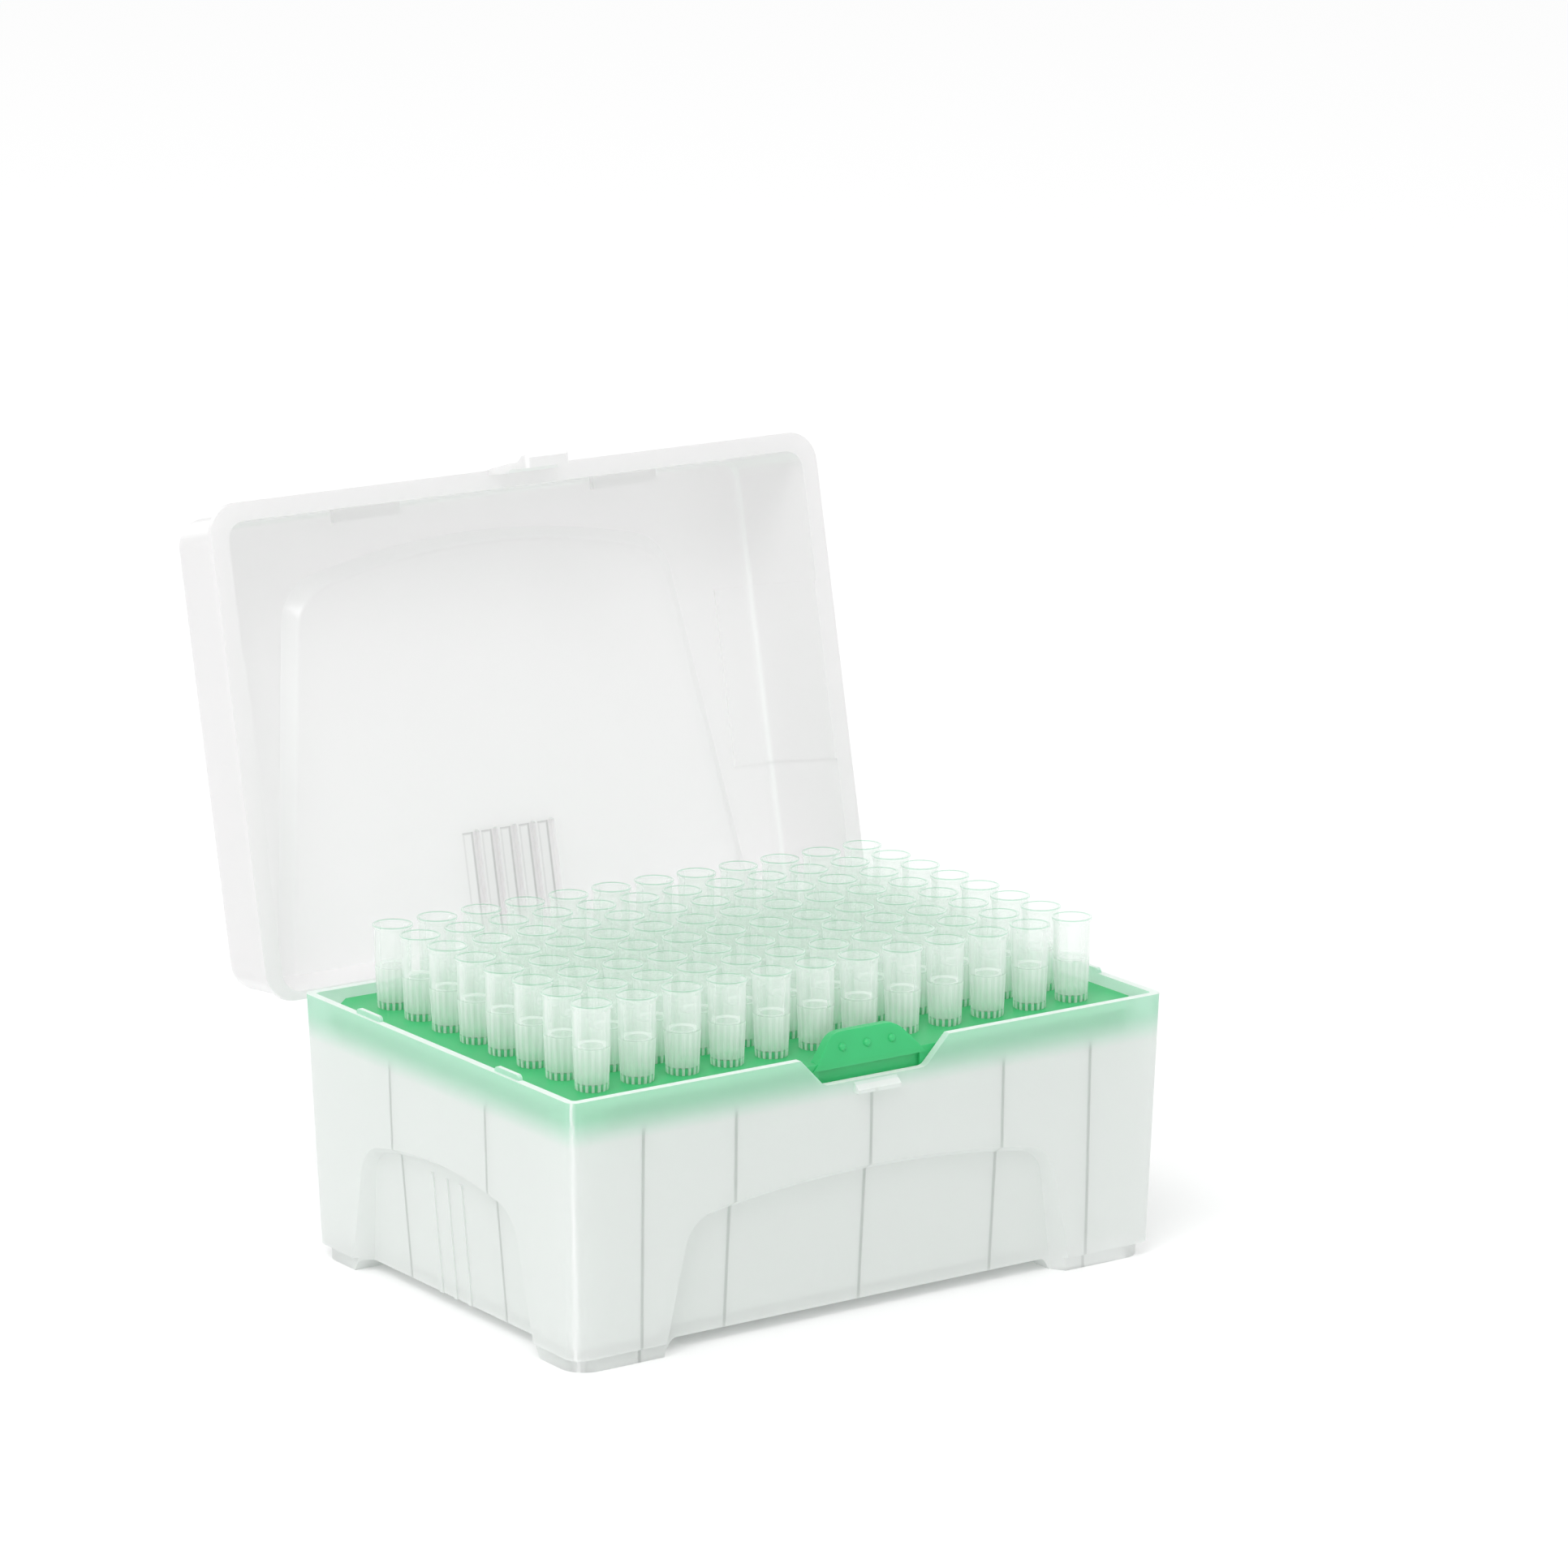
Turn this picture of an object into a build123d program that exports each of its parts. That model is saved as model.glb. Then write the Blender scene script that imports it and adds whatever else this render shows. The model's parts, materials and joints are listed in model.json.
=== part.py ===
from build123d import *
import os
from math import cos, radians, sin, tan

# Hinged box with 96 pipette tips standing in a perforated tray.
# Millimetres, +Z up. X runs along the long side, -Y is the front with the catch, +Y is the hinge side.
# Pieces are drawn about the middle of the base's footprint, on the plane of the feet, with the lid closed.
# The lid is then turned open about the hinge axis, and everything is moved forward by CENTRE_Y, so that
# the origin is the middle of the open box's whole plan.

# Tip grid
PITCH = 9.0
COLUMNS = 12
ROWS = 8

# From the middle of the base's footprint to the middle of the open box's plan
CENTRE_Y = 21.25

# Base shell
BASE_HEIGHT = 47.3
RIM_HALF = (61.0, 42.85)
FOOT_HALF = (59.9, 41.7)
WALL_CORNER = (3.0, 1.8)
WALL = 1.5
FLOOR_RAISE = 2.2
FLOOR_THICKNESS = 2.0
FOOT_STEP = (0.7, 2.5)
FOOT_CORNER = 4.6
FOOT_SPAN = (38.5, 28.5)
FOOT_FLANK = 1.4

# Recessed arched panels of the base: half widths below the foot and at the shoulder, heights, depths.
# Their borders slope, and their faces lean in towards the foot.
PANEL_FOOT_Z = -6.0
PANEL_SHOULDER_Z = 23.2
PANEL_CROWN_Z = 26.8
PANEL_CORNER = 7.5
LONG_PANEL = (44.1, 36.6)
SHORT_PANEL = (31.6, 23.6)
PANEL_TOP_DEPTH = 1.7
PANEL_SLOPE = 4.6
PANEL_FLANK = 32.0
PANEL_REACH = 5.0
GRIP_RIB_PITCH = 4.6
GRIP_RIB = (0.9, 0.3, 23.8)
GRIP_RIB_INSET = 0.3

# Support ribs inside the base, on which the tray skirt rests
SUPPORT_Z = 41.1
SUPPORT_RIB = (1.2, 1.8)
LONG_RIB_X = (-46.0, -27.5, 0.0, 27.5, 46.0)
SHORT_RIB_Y = (-15.5, 15.5)

# Front notch, catch lug and rim lugs
NOTCH_HALF = (15.2, 10.4)
NOTCH_DEPTH = 5.1
LUG_SIZE = (8.8, 1.4, 1.8)
LUG_TOP_Z = 41.9
RIM_LUG_Y = 22.2
RIM_LUG = (0.8, 7.5, 0.9)
RIM_LUG_ROOT = 2.0

# Tray
DECK_Z = 45.5
DECK_THICKNESS = 1.6
TRAY_HALF = (59.0, 41.0)
TRAY_CHAMFER = 5.5
SKIRT_THICKNESS = 1.2
HOLE_RADIUS = 2.5
GRID_RIB = (1.0, 1.5)
TAB_HALF = (11.6, 6.6)
TAB_BOTTOM_Z = DECK_Z - 1.1
TAB_TOP_Z = DECK_Z + 4.5
TAB_LEAN = 2.0
TAB_THICKNESS = 1.4
DOT_RADIUS = 0.75
TAB_CORNER = 4.3
DOT_PITCH = 5.1

# Pipette tip, measured down from its mouth; its steps are (radius, depth) pairs
TIP_RIM = (3.5, 0.8)
TIP_COLLAR_RADIUS = 3.2
TIP_COLLAR_LENGTH = 7.46
TIP_SEAT = 14.85
TIP_NECK_RADIUS = 2.35
TIP_STEPS = ((2.07, 23.5), (1.73, 29.5), (1.13, 38.7), (0.37, 48.8))
TIP_WALL = 0.42
MOUTH_RADIUS = 2.62
ORIFICE_WALL = 0.17
RIB_COUNT = 12
RIB_THICKNESS = 0.5
RIB_FOOT_RADII = (2.42, 2.8)
RIB_TOP_RADII = (2.8, 3.16)

# Hinge: axis behind the back wall, bars on the base, clips on the lid
HINGE_Y = 44.9
HINGE_Z = 42.85
HINGE_X = (-34.0, 34.0)
OPEN_ANGLE = 101.8
BAR_RADIUS = 1.1
CLIP_CLEARANCE = 0.05
CLIP_RADIUS = 1.9
CLIP_WIDTH = 10.0
EAR_THICKNESS = 1.8
EAR_GAP = 0.2
HEEL_OFFSET = 2.0
CLIP_MOUTH = 105.0

# Lid, closed: outer half length and the front and back faces of its walls, at the rim and at the top
LID_DEPTH = 20.5
LID_RIM_HALF_X = 62.0
LID_TOP_HALF_X = 60.0
LID_RIM_Y = (-42.7, 42.9)
LID_TOP_Y = (-42.1, 41.4)
LID_CORNER = 5.0
LID_WALL = 1.5
LID_TOP_WALL = 1.4
LID_EDGE_RADIUS = 2.6
LID_INNER_RADIUS = 1.4
FLANGE = (1.8, 1.2)
FLANGE_CORNER = 5.6

# Arched panel sunk in the lid's top: half widths past the hinge side and at the shoulder, depth and border
LID_PANEL_DEPTH = 2.4
LID_PANEL_STEP = 3.4
LID_PANEL_HALF = (54.2, 40.9)
LID_PANEL_FOOT_Y = 60.0
LID_PANEL_SHOULDER_Y = -28.4
LID_PANEL_CROWN_Y = -34.2
LID_PANEL_CORNER = 9.0
LID_PANEL_EASE = 0.8
LID_PANEL_GROW = 0.9

# Corrugations of the panel near the hinge: pitch and end, then pairs for outside and inside
LID_RIB_PITCH = 4.0
LID_RIB_END_Y = 19.6
LID_RIB_WIDTH = (2.3, 1.3)
LID_RIB_HEIGHT = (2.0, 1.8)
LID_RIB_ROOT = (0.3, 0.5)
LID_RIB_INSET = (0.4, 2.5)

# Pads that thicken the inside of the short sides: length along Y, its middle, inner end on the top, height
SIDE_PAD = (33.0, -0.6, 50.4, 0.35)

# Stops inside the front wall: width, reach, thickness, height above the rim, distance from the middle
FRONT_STOP = (13.6, 2.5, 1.2)
FRONT_STOP_ROOT = 0.5
FRONT_STOP_Z = 9.2
FRONT_STOP_X = 27.3

# Catch: a tongue hangs from the flange over the base's front notch and ends in a lipped tab
TONGUE_HALF = (6.5, 4.6)
TONGUE_WAIST_Z = (46.0, 41.4)
TONGUE_BEND = 3.0
TONGUE_DROP = 10.2
TONGUE_CORNER = 1.1
TONGUE_FACE_Y = (-44.5, -45.35, -46.5)
TONGUE_BACK_Y = (-43.6, -44.2)
TONGUE_STEP_Z = (42.9, 42.3)
LIP_HEIGHT = (0.5, 1.5, 3.2)
LEAST_RADIUS = 0.8


def rounded(half_x, half_y, radius, z, centre_y=0.0):
    return Pos(0, centre_y, z) * RectangleRounded(2 * half_x, 2 * half_y, radius)


def arch(half_foot, half_shoulder, foot, shoulder, crown, corner):
    """Arched outline, open end at `foot`, its crown a shallow arc with rounded shoulders."""
    with BuildSketch() as outline:
        with BuildLine():
            Polyline((-half_shoulder, shoulder), (-half_foot, foot), (half_foot, foot),
                     (half_shoulder, shoulder))
            ThreePointArc((half_shoulder, shoulder), (0, crown), (-half_shoulder, shoulder))
        make_face()
        tops = outline.vertices().sort_by(Axis.Y)[-2:]
        fillet(tops, corner)
    return outline.sketch


def wall_half(z, axis):
    """Half size of the outer wall at height z, along X (axis 0) or Y (axis 1)."""
    share = z / BASE_HEIGHT
    return FOOT_HALF[axis] + (RIM_HALF[axis] - FOOT_HALF[axis]) * share


def panel_cutter(widths, axis, grow):
    """Space outside one recessed panel. `grow` pushes its edges and its face towards the inside."""
    wall_face = wall_half(PANEL_CROWN_Z, axis) - grow
    crown_face = wall_face - PANEL_TOP_DEPTH
    drop = PANEL_CROWN_Z * tan(radians(PANEL_SLOPE))
    shift = grow + PANEL_REACH * tan(radians(PANEL_FLANK))
    outline = arch(widths[0] + shift, widths[1] + shift, PANEL_FOOT_Z, PANEL_SHOULDER_Z + shift,
                   PANEL_CROWN_Z + shift, PANEL_CORNER + shift)
    prism = extrude(Plane.XZ.offset(wall_face + PANEL_REACH) * outline, -2 * PANEL_REACH, taper=PANEL_FLANK)
    top = 40.0
    top_face = crown_face + (top - PANEL_CROWN_Z) * tan(radians(PANEL_SLOPE))
    keep = Polyline((-80, 0), (-80, top), (-top_face, top), (-(crown_face - drop), 0), close=True)
    wedge = extrude(Plane.YZ * make_face(keep), 80, both=True)
    return prism & wedge


def panel_cutters(grow):
    front = panel_cutter(LONG_PANEL, 1, grow)
    side = panel_cutter(SHORT_PANEL, 0, grow)
    return [front, Rot(0, 0, 180) * front, Rot(0, 0, 90) * side, Rot(0, 0, -90) * side]


def tapered_shell(inset, z_low, z_high):
    """Solid tapered body between two heights, `inset` inside the outer wall."""
    sections = []
    for z in (z_low, z_high):
        outer = WALL_CORNER[0] + (WALL_CORNER[1] - WALL_CORNER[0]) * z / BASE_HEIGHT
        radius = max(outer - inset, LEAST_RADIUS)
        sections.append(rounded(wall_half(z, 0) - inset, wall_half(z, 1) - inset, radius, z))
    return loft(sections, ruled=True)


def cavity(inset):
    body = tapered_shell(inset, FLOOR_RAISE + FLOOR_THICKNESS, BASE_HEIGHT + 1)
    for cutter in panel_cutters(inset):
        body -= cutter
    return body


def support_ribs():
    """Upright ribs that follow the inside of the walls up to the height of the tray skirt."""
    band = cavity(WALL - 0.2) - cavity(WALL + SUPPORT_RIB[1])
    slabs = []
    for x in LONG_RIB_X:
        slabs.append(Pos(x, 0, SUPPORT_Z / 2) * Box(SUPPORT_RIB[0], 100, SUPPORT_Z))
    for y in SHORT_RIB_Y:
        slabs.append(Pos(0, y, SUPPORT_Z / 2) * Box(140, SUPPORT_RIB[0], SUPPORT_Z))
    return [slab & band for slab in slabs]


def grip_ribs():
    """Three short ribs in each short side's panel, standing out from its recessed face."""
    width, proud, height = GRIP_RIB
    ribs = []
    skin = tapered_shell(GRIP_RIB_INSET, FLOOR_RAISE, height)
    for side in (-1, 1):
        for k in (-1, 0, 1):
            ribs.append(Pos(side * 57.5, k * GRIP_RIB_PITCH, height / 2) * Box(6, width, height))
    lower = tapered_shell(WALL, FLOOR_RAISE, height)
    for cutter in panel_cutters(WALL / 2):
        lower -= cutter
    outer = skin
    for cutter in (Rot(0, 0, 90) * panel_cutter(SHORT_PANEL, 0, -proud),
                   Rot(0, 0, -90) * panel_cutter(SHORT_PANEL, 0, -proud)):
        outer -= cutter
    return [(rib & outer) - lower for rib in ribs]


def hinge_bracket(x):
    """Two ears with the hinge bar between them, and the sloped shelf that stops the open lid."""
    half = CLIP_WIDTH / 2 + EAR_GAP
    wall = wall_half(HINGE_Z, 1) - 0.6
    lean = radians(OPEN_ANGLE - 90)
    nose = (HINGE_Y + 1.9, HINGE_Z)
    ear_side = [
        (wall, HINGE_Z + 1.9), (HINGE_Y, HINGE_Z + 1.9), nose,
        (nose[0], HINGE_Z - 2.2), (wall, HINGE_Z - 7.5),
    ]
    ears = []
    for side in (-1, 1):
        middle = Plane.YZ.offset(x + side * (half + EAR_THICKNESS / 2))
        face = make_face(middle * Polyline(*ear_side, close=True))
        ears.append(extrude(face, EAR_THICKNESS / 2, both=True))
    bar = Pos(x, HINGE_Y, HINGE_Z) * Rot(0, 90, 0) * Cylinder(BAR_RADIUS, 2 * half + EAR_THICKNESS)
    near = HINGE_Z - HEEL_OFFSET * cos(lean) - (wall - HINGE_Y + HEEL_OFFSET * sin(lean)) * tan(lean)
    far_y = HINGE_Y + 3.4
    far = HINGE_Z - HEEL_OFFSET * cos(lean) - (far_y - HINGE_Y + HEEL_OFFSET * sin(lean)) * tan(lean)
    shelf_side = [(wall, near), (far_y, far), (far_y, far - 1.2), (wall, HINGE_Z - 7.5)]
    shelf_face = make_face(Plane.YZ.offset(x) * Polyline(*shelf_side, close=True))
    shelf = extrude(shelf_face, half + EAR_THICKNESS, both=True)
    return ears + [bar, shelf]


def trapezoid(half_wide, half_narrow, z_wide, z_narrow, corner):
    """Symmetrical trapezoid with its two narrow corners rounded."""
    with BuildSketch() as outline:
        with BuildLine():
            Polyline((-half_wide, z_wide), (-half_narrow, z_narrow),
                     (half_narrow, z_narrow), (half_wide, z_wide), close=True)
        make_face()
        fillet([v for v in outline.vertices() if abs(v.Y - z_narrow) < 0.01], corner)
    return outline.sketch


def make_base():
    # Corner feet, a little smaller than the shell that stands on them, joined under a raised floor
    step, step_height = FOOT_STEP
    feet = extrude(rounded(FOOT_HALF[0] - step, FOOT_HALF[1] - step, FOOT_CORNER, 0), step_height)
    for half, plane in ((FOOT_SPAN[0], Plane.XZ), (FOOT_SPAN[1], Plane.YZ)):
        side = trapezoid(half + FOOT_FLANK, half, -0.01, FLOOR_RAISE, FOOT_FLANK)
        feet -= extrude(plane * side, 100, both=True)
    body = tapered_shell(0, step_height, BASE_HEIGHT) + feet
    for cutter in panel_cutters(0):
        body -= cutter
    body -= cavity(WALL)

    for rib in support_ribs() + grip_ribs():
        body += rib

    # Front notch through the wall
    outline = trapezoid(NOTCH_HALF[0] + 1.2, NOTCH_HALF[1], BASE_HEIGHT + 1.2, BASE_HEIGHT - NOTCH_DEPTH, 2.0)
    body -= extrude(Plane.XZ.offset(RIM_HALF[1] - 4) * outline, 8)

    # Catch lug under the notch, with a ramp on top
    length, proud, height = LUG_SIZE
    face = wall_half(LUG_TOP_Z, 1)
    side = [
        (-face + 0.5, LUG_TOP_Z), (-face, LUG_TOP_Z), (-face - proud, LUG_TOP_Z - 1.2),
        (-face - proud, LUG_TOP_Z - height), (-face + 0.5, LUG_TOP_Z - height),
    ]
    body += extrude(Plane.YZ * make_face(Polyline(*side, close=True)), length / 2, both=True)

    # Four lugs that stand above the rim of the short sides and centre the lid
    thickness, length, rise = RIM_LUG
    inner = RIM_HALF[0] - WALL
    for side_x in (-1, 1):
        for side_y in (-1, 1):
            lug = Box(thickness, length, rise + RIM_LUG_ROOT)
            lug = fillet(lug.edges().filter_by(Axis.X).group_by(Axis.Z)[-1], 0.8)
            x = side_x * (inner + thickness / 2)
            body += Pos(x, side_y * RIM_LUG_Y, BASE_HEIGHT + (rise - RIM_LUG_ROOT) / 2) * lug

    for x in HINGE_X:
        for piece in hinge_bracket(x):
            body += piece
    return body


def tray_outline(inset):
    with BuildSketch() as outline:
        Rectangle(2 * (TRAY_HALF[0] - inset), 2 * (TRAY_HALF[1] - inset))
        chamfer(outline.vertices(), TRAY_CHAMFER)
    return outline.sketch


def make_tray():
    skirt_bottom = SUPPORT_Z
    under = DECK_Z - DECK_THICKNESS
    body = extrude(Pos(0, 0, skirt_bottom) * tray_outline(0), DECK_Z - skirt_bottom)
    body -= extrude(Pos(0, 0, skirt_bottom) * tray_outline(SKIRT_THICKNESS), under - skirt_bottom)

    # Grid of stiffening ribs between the rows of holes
    width, drop = GRID_RIB
    span_x = 2 * TRAY_HALF[0] - SKIRT_THICKNESS
    span_y = 2 * TRAY_HALF[1] - SKIRT_THICKNESS
    for i in range(COLUMNS - 1):
        x = (i - (COLUMNS - 2) / 2) * PITCH
        body += Pos(x, 0, under - drop / 2) * Box(width, span_y, drop)
    for j in range(ROWS - 1):
        y = (j - (ROWS - 2) / 2) * PITCH
        body += Pos(0, y, under - drop / 2) * Box(span_x, width, drop)

    holes = Sketch() + [loc * Circle(HOLE_RADIUS) for loc in GridLocations(PITCH, PITCH, COLUMNS, ROWS)]
    body -= extrude(Pos(0, 0, under - 0.5) * holes, DECK_THICKNESS + 1)

    # Recess in the skirt under the tab, then the leaning tab itself
    recess = (2 * NOTCH_HALF[1], SKIRT_THICKNESS / 2, TAB_BOTTOM_Z - skirt_bottom)
    body -= Pos(0, -TRAY_HALF[1] + recess[1] / 2, skirt_bottom + recess[2] / 2) * Box(*recess)
    return body + finger_tab()


def finger_tab():
    """Upright finger tab on the front edge of the tray, leaning back, with three raised dots."""
    outline = trapezoid(TAB_HALF[0], TAB_HALF[1], TAB_BOTTOM_Z, TAB_TOP_Z, TAB_CORNER)
    front = -TRAY_HALF[1] - 0.2
    slab = extrude(Plane.XZ.offset(-front - 12) * outline, 16)
    side = [
        (front, TAB_BOTTOM_Z), (front, DECK_Z), (front + TAB_LEAN, TAB_TOP_Z),
        (front + TAB_LEAN + TAB_THICKNESS, TAB_TOP_Z), (front + TAB_THICKNESS + 0.9, DECK_Z),
        (front + TAB_THICKNESS + 0.9, TAB_BOTTOM_Z),
    ]
    leaning = extrude(Plane.YZ * make_face(Polyline(*side, close=True)), 20, both=True)
    tab = slab & leaning
    middle = DECK_Z + 0.45 * (TAB_TOP_Z - DECK_Z)
    depth = front + TAB_LEAN * 0.45
    for k in (-1, 0, 1):
        tab += Pos(k * DOT_PITCH, depth + 0.15, middle) * Sphere(DOT_RADIUS)
    return tab


def rib_ring(z, valley, crest):
    """Cross-section of the ribbed part of a tip: a ring of narrow ribs round a faceted body."""
    half_rib = RIB_THICKNESS / 2
    corners = []
    for k in range(RIB_COUNT):
        for radius, side in ((valley, -1), (crest, -1), (crest, 1), (valley, 1)):
            corners.append(Vector(radius, side * half_rib).rotate(Axis.Z, 360 / RIB_COUNT * k))
    return Pos(0, 0, z) * make_face(Polyline(*corners, close=True))


def make_tip():
    """One tip, mouth up, its rib ends at z = 0 where it rests on the deck."""
    collar_end = TIP_SEAT - TIP_COLLAR_LENGTH
    lower = [(TIP_NECK_RADIUS, TIP_SEAT)] + list(TIP_STEPS)
    end = TIP_STEPS[-1]

    def turned(points):
        heights = [(r, TIP_SEAT - depth) for r, depth in points]
        return revolve(Plane.XZ * make_face(Polyline(*heights, close=True)), Axis.Z)

    collar = turned([(0, 0), (TIP_RIM[0], 0), (TIP_RIM[0], TIP_RIM[1]), (TIP_COLLAR_RADIUS, TIP_RIM[1] + 0.3),
                     (TIP_COLLAR_RADIUS - 0.04, TIP_COLLAR_LENGTH), (0, TIP_COLLAR_LENGTH)])
    ribbed = loft([rib_ring(0, *RIB_FOOT_RADII), rib_ring(collar_end, *RIB_TOP_RADII)], ruled=True)
    spike = turned([(0, TIP_SEAT)] + lower + [(0, end[1])])

    mouth = TIP_RIM[0] - TIP_WALL
    bore = [(0, -1), (mouth, -1), (mouth, 0), (MOUTH_RADIUS, TIP_COLLAR_LENGTH)]
    bore += [(r - TIP_WALL, depth) for r, depth in lower[:-1]]
    bore += [(end[0] - ORIFICE_WALL, end[1]), (end[0] - ORIFICE_WALL, end[1] + 1), (0, end[1] + 1)]
    return collar + ribbed + spike - turned(bore)


def lid_form(inset, top_inset, radius):
    """Tapered body of the lid, walls pushed in by `inset`, top lowered by `top_inset`."""
    sections = []
    for share in (0.0, 1.0):
        half_x = LID_RIM_HALF_X + (LID_TOP_HALF_X - LID_RIM_HALF_X) * share - inset
        front = LID_RIM_Y[0] + (LID_TOP_Y[0] - LID_RIM_Y[0]) * share + inset
        back = LID_RIM_Y[1] + (LID_TOP_Y[1] - LID_RIM_Y[1]) * share - inset
        z = BASE_HEIGHT + LID_DEPTH * share
        sections.append(rounded(half_x, (back - front) / 2, LID_CORNER - inset, z, (front + back) / 2))
    body = loft(sections, ruled=True)
    body = body & Pos(0, 0, BASE_HEIGHT + (LID_DEPTH - top_inset) / 2) * Box(200, 200, LID_DEPTH - top_inset)
    top = body.faces().sort_by(Axis.Z)[-1]
    return fillet(top.edges(), radius)


def lid_panel(grow, deeper):
    """Space of the sunk arched panel in the top, with its sloped border and eased bottom edge."""
    z_top = BASE_HEIGHT + LID_DEPTH
    sections = []
    for step, z in ((0.0, z_top + 0.01), (LID_PANEL_STEP, z_top - LID_PANEL_DEPTH - deeper)):
        shift = grow - step
        outline = arch(LID_PANEL_HALF[0] + shift, LID_PANEL_HALF[1] + shift, -LID_PANEL_FOOT_Y,
                       shift - LID_PANEL_SHOULDER_Y, shift - LID_PANEL_CROWN_Y, LID_PANEL_CORNER)
        sections.append(Pos(0, 0, z) * Rot(0, 0, 180) * outline)
    space = loft(sections, ruled=True)
    bottom = space.faces().sort_by(Axis.Z)[0]
    return fillet(bottom.edges(), LID_PANEL_EASE + deeper / 2)


def corrugations(width, z, height):
    """Round-ended bars side by side, from the rib ends to past the hinge side, rising from z."""
    end = LID_RIB_END_Y + width / 2
    length = LID_TOP_Y[1] + 6 - end
    bars = []
    for k in range(-2, 3):
        bar = Pos(k * LID_RIB_PITCH, end + length / 2, z) * Rot(0, 0, 90) * SlotCenterToCenter(length, width)
        bars.append(extrude(bar, height))
    return bars


def side_pads():
    """Blocks at both short sides less the body inside the pads, so that what is left is the pads' space."""
    length, middle, inner, proud = SIDE_PAD
    core = lid_form(LID_WALL + proud, LID_TOP_WALL + proud, LID_INNER_RADIUS)
    reach = LID_RIM_HALF_X - inner
    spaces = []
    for side in (-1, 1):
        block = Box(reach, length, 2 * LID_DEPTH)
        spaces.append(Pos(side * (inner + reach / 2), middle, BASE_HEIGHT + LID_DEPTH) * block - core)
    return spaces


def hinge_clip(x):
    """Open ring that snaps over the base's bar, with an arm up to the lid's back wall."""
    inner = BAR_RADIUS + CLIP_CLEARANCE
    rear = HINGE_Y + HEEL_OFFSET
    root = LID_RIM_Y[1] - 0.5
    arm_side = [
        (rear, HINGE_Z), (rear, HINGE_Z + 3.6), (HINGE_Y - 0.9, BASE_HEIGHT + 3.0), (root, BASE_HEIGHT + 3.0),
        (root, BASE_HEIGHT + 1.0), (LID_RIM_Y[1] + 0.3, BASE_HEIGHT + 0.6), (HINGE_Y + 0.45, HINGE_Z + 2.9),
        (HINGE_Y + 0.45, HINGE_Z),
    ]
    arm = extrude(Plane.YZ.offset(x) * make_face(Polyline(*arm_side, close=True)), CLIP_WIDTH / 2, both=True)
    ring = Circle(CLIP_RADIUS)
    side = Plane.YZ.offset(x) * Pos(HINGE_Y, HINGE_Z) * ring
    body = arm + extrude(side, CLIP_WIDTH / 2, both=True)
    body -= extrude(Plane.YZ.offset(x) * Pos(HINGE_Y, HINGE_Z) * Circle(inner), CLIP_WIDTH, both=True)
    reach = 6.0
    half = radians(CLIP_MOUTH / 2)
    centre = radians(225)
    mouth = [
        (HINGE_Y, HINGE_Z),
        (HINGE_Y + reach * cos(centre - half), HINGE_Z + reach * sin(centre - half)),
        (HINGE_Y + reach * cos(centre + half), HINGE_Z + reach * sin(centre + half)),
    ]
    body -= extrude(Plane.YZ.offset(x) * make_face(Polyline(*mouth, close=True)), CLIP_WIDTH, both=True)
    return body


def front_tongue():
    """Tongue of the flange that narrows to the catch tab, whose lip stands forward for a fingertip."""
    top = BASE_HEIGHT + FLANGE[1]
    low = BASE_HEIGHT - TONGUE_DROP
    root, face, lip = TONGUE_FACE_Y
    back, tab_back = TONGUE_BACK_Y
    side = [
        (back, top), (root, top), (face, TONGUE_STEP_Z[1]), (face, low + LIP_HEIGHT[2]),
        (lip, low + LIP_HEIGHT[1]), (lip, low + LIP_HEIGHT[0]), (lip + LIP_HEIGHT[0], low),
        (tab_back, low), (tab_back, TONGUE_STEP_Z[1]), (back, TONGUE_STEP_Z[0]),
    ]
    slab = extrude(Plane.YZ * make_face(Polyline(*side, close=True)), 2 * TONGUE_HALF[0], both=True)
    wide, narrow = TONGUE_HALF
    waist_high, waist_low = TONGUE_WAIST_Z
    with BuildSketch() as outline:
        with BuildLine():
            Polyline((-wide, top + 1), (-wide, waist_high), (-narrow, waist_low), (-narrow, low),
                     (narrow, low), (narrow, waist_low), (wide, waist_high), (wide, top + 1), close=True)
        make_face()
        fillet([v for v in outline.vertices() if waist_low - 0.1 < v.Y < waist_high + 0.1], TONGUE_BEND)
        fillet([v for v in outline.vertices() if abs(v.Y - low) < 0.01], TONGUE_CORNER)
    return slab & extrude(Plane.XZ * outline.sketch, 60)


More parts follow.
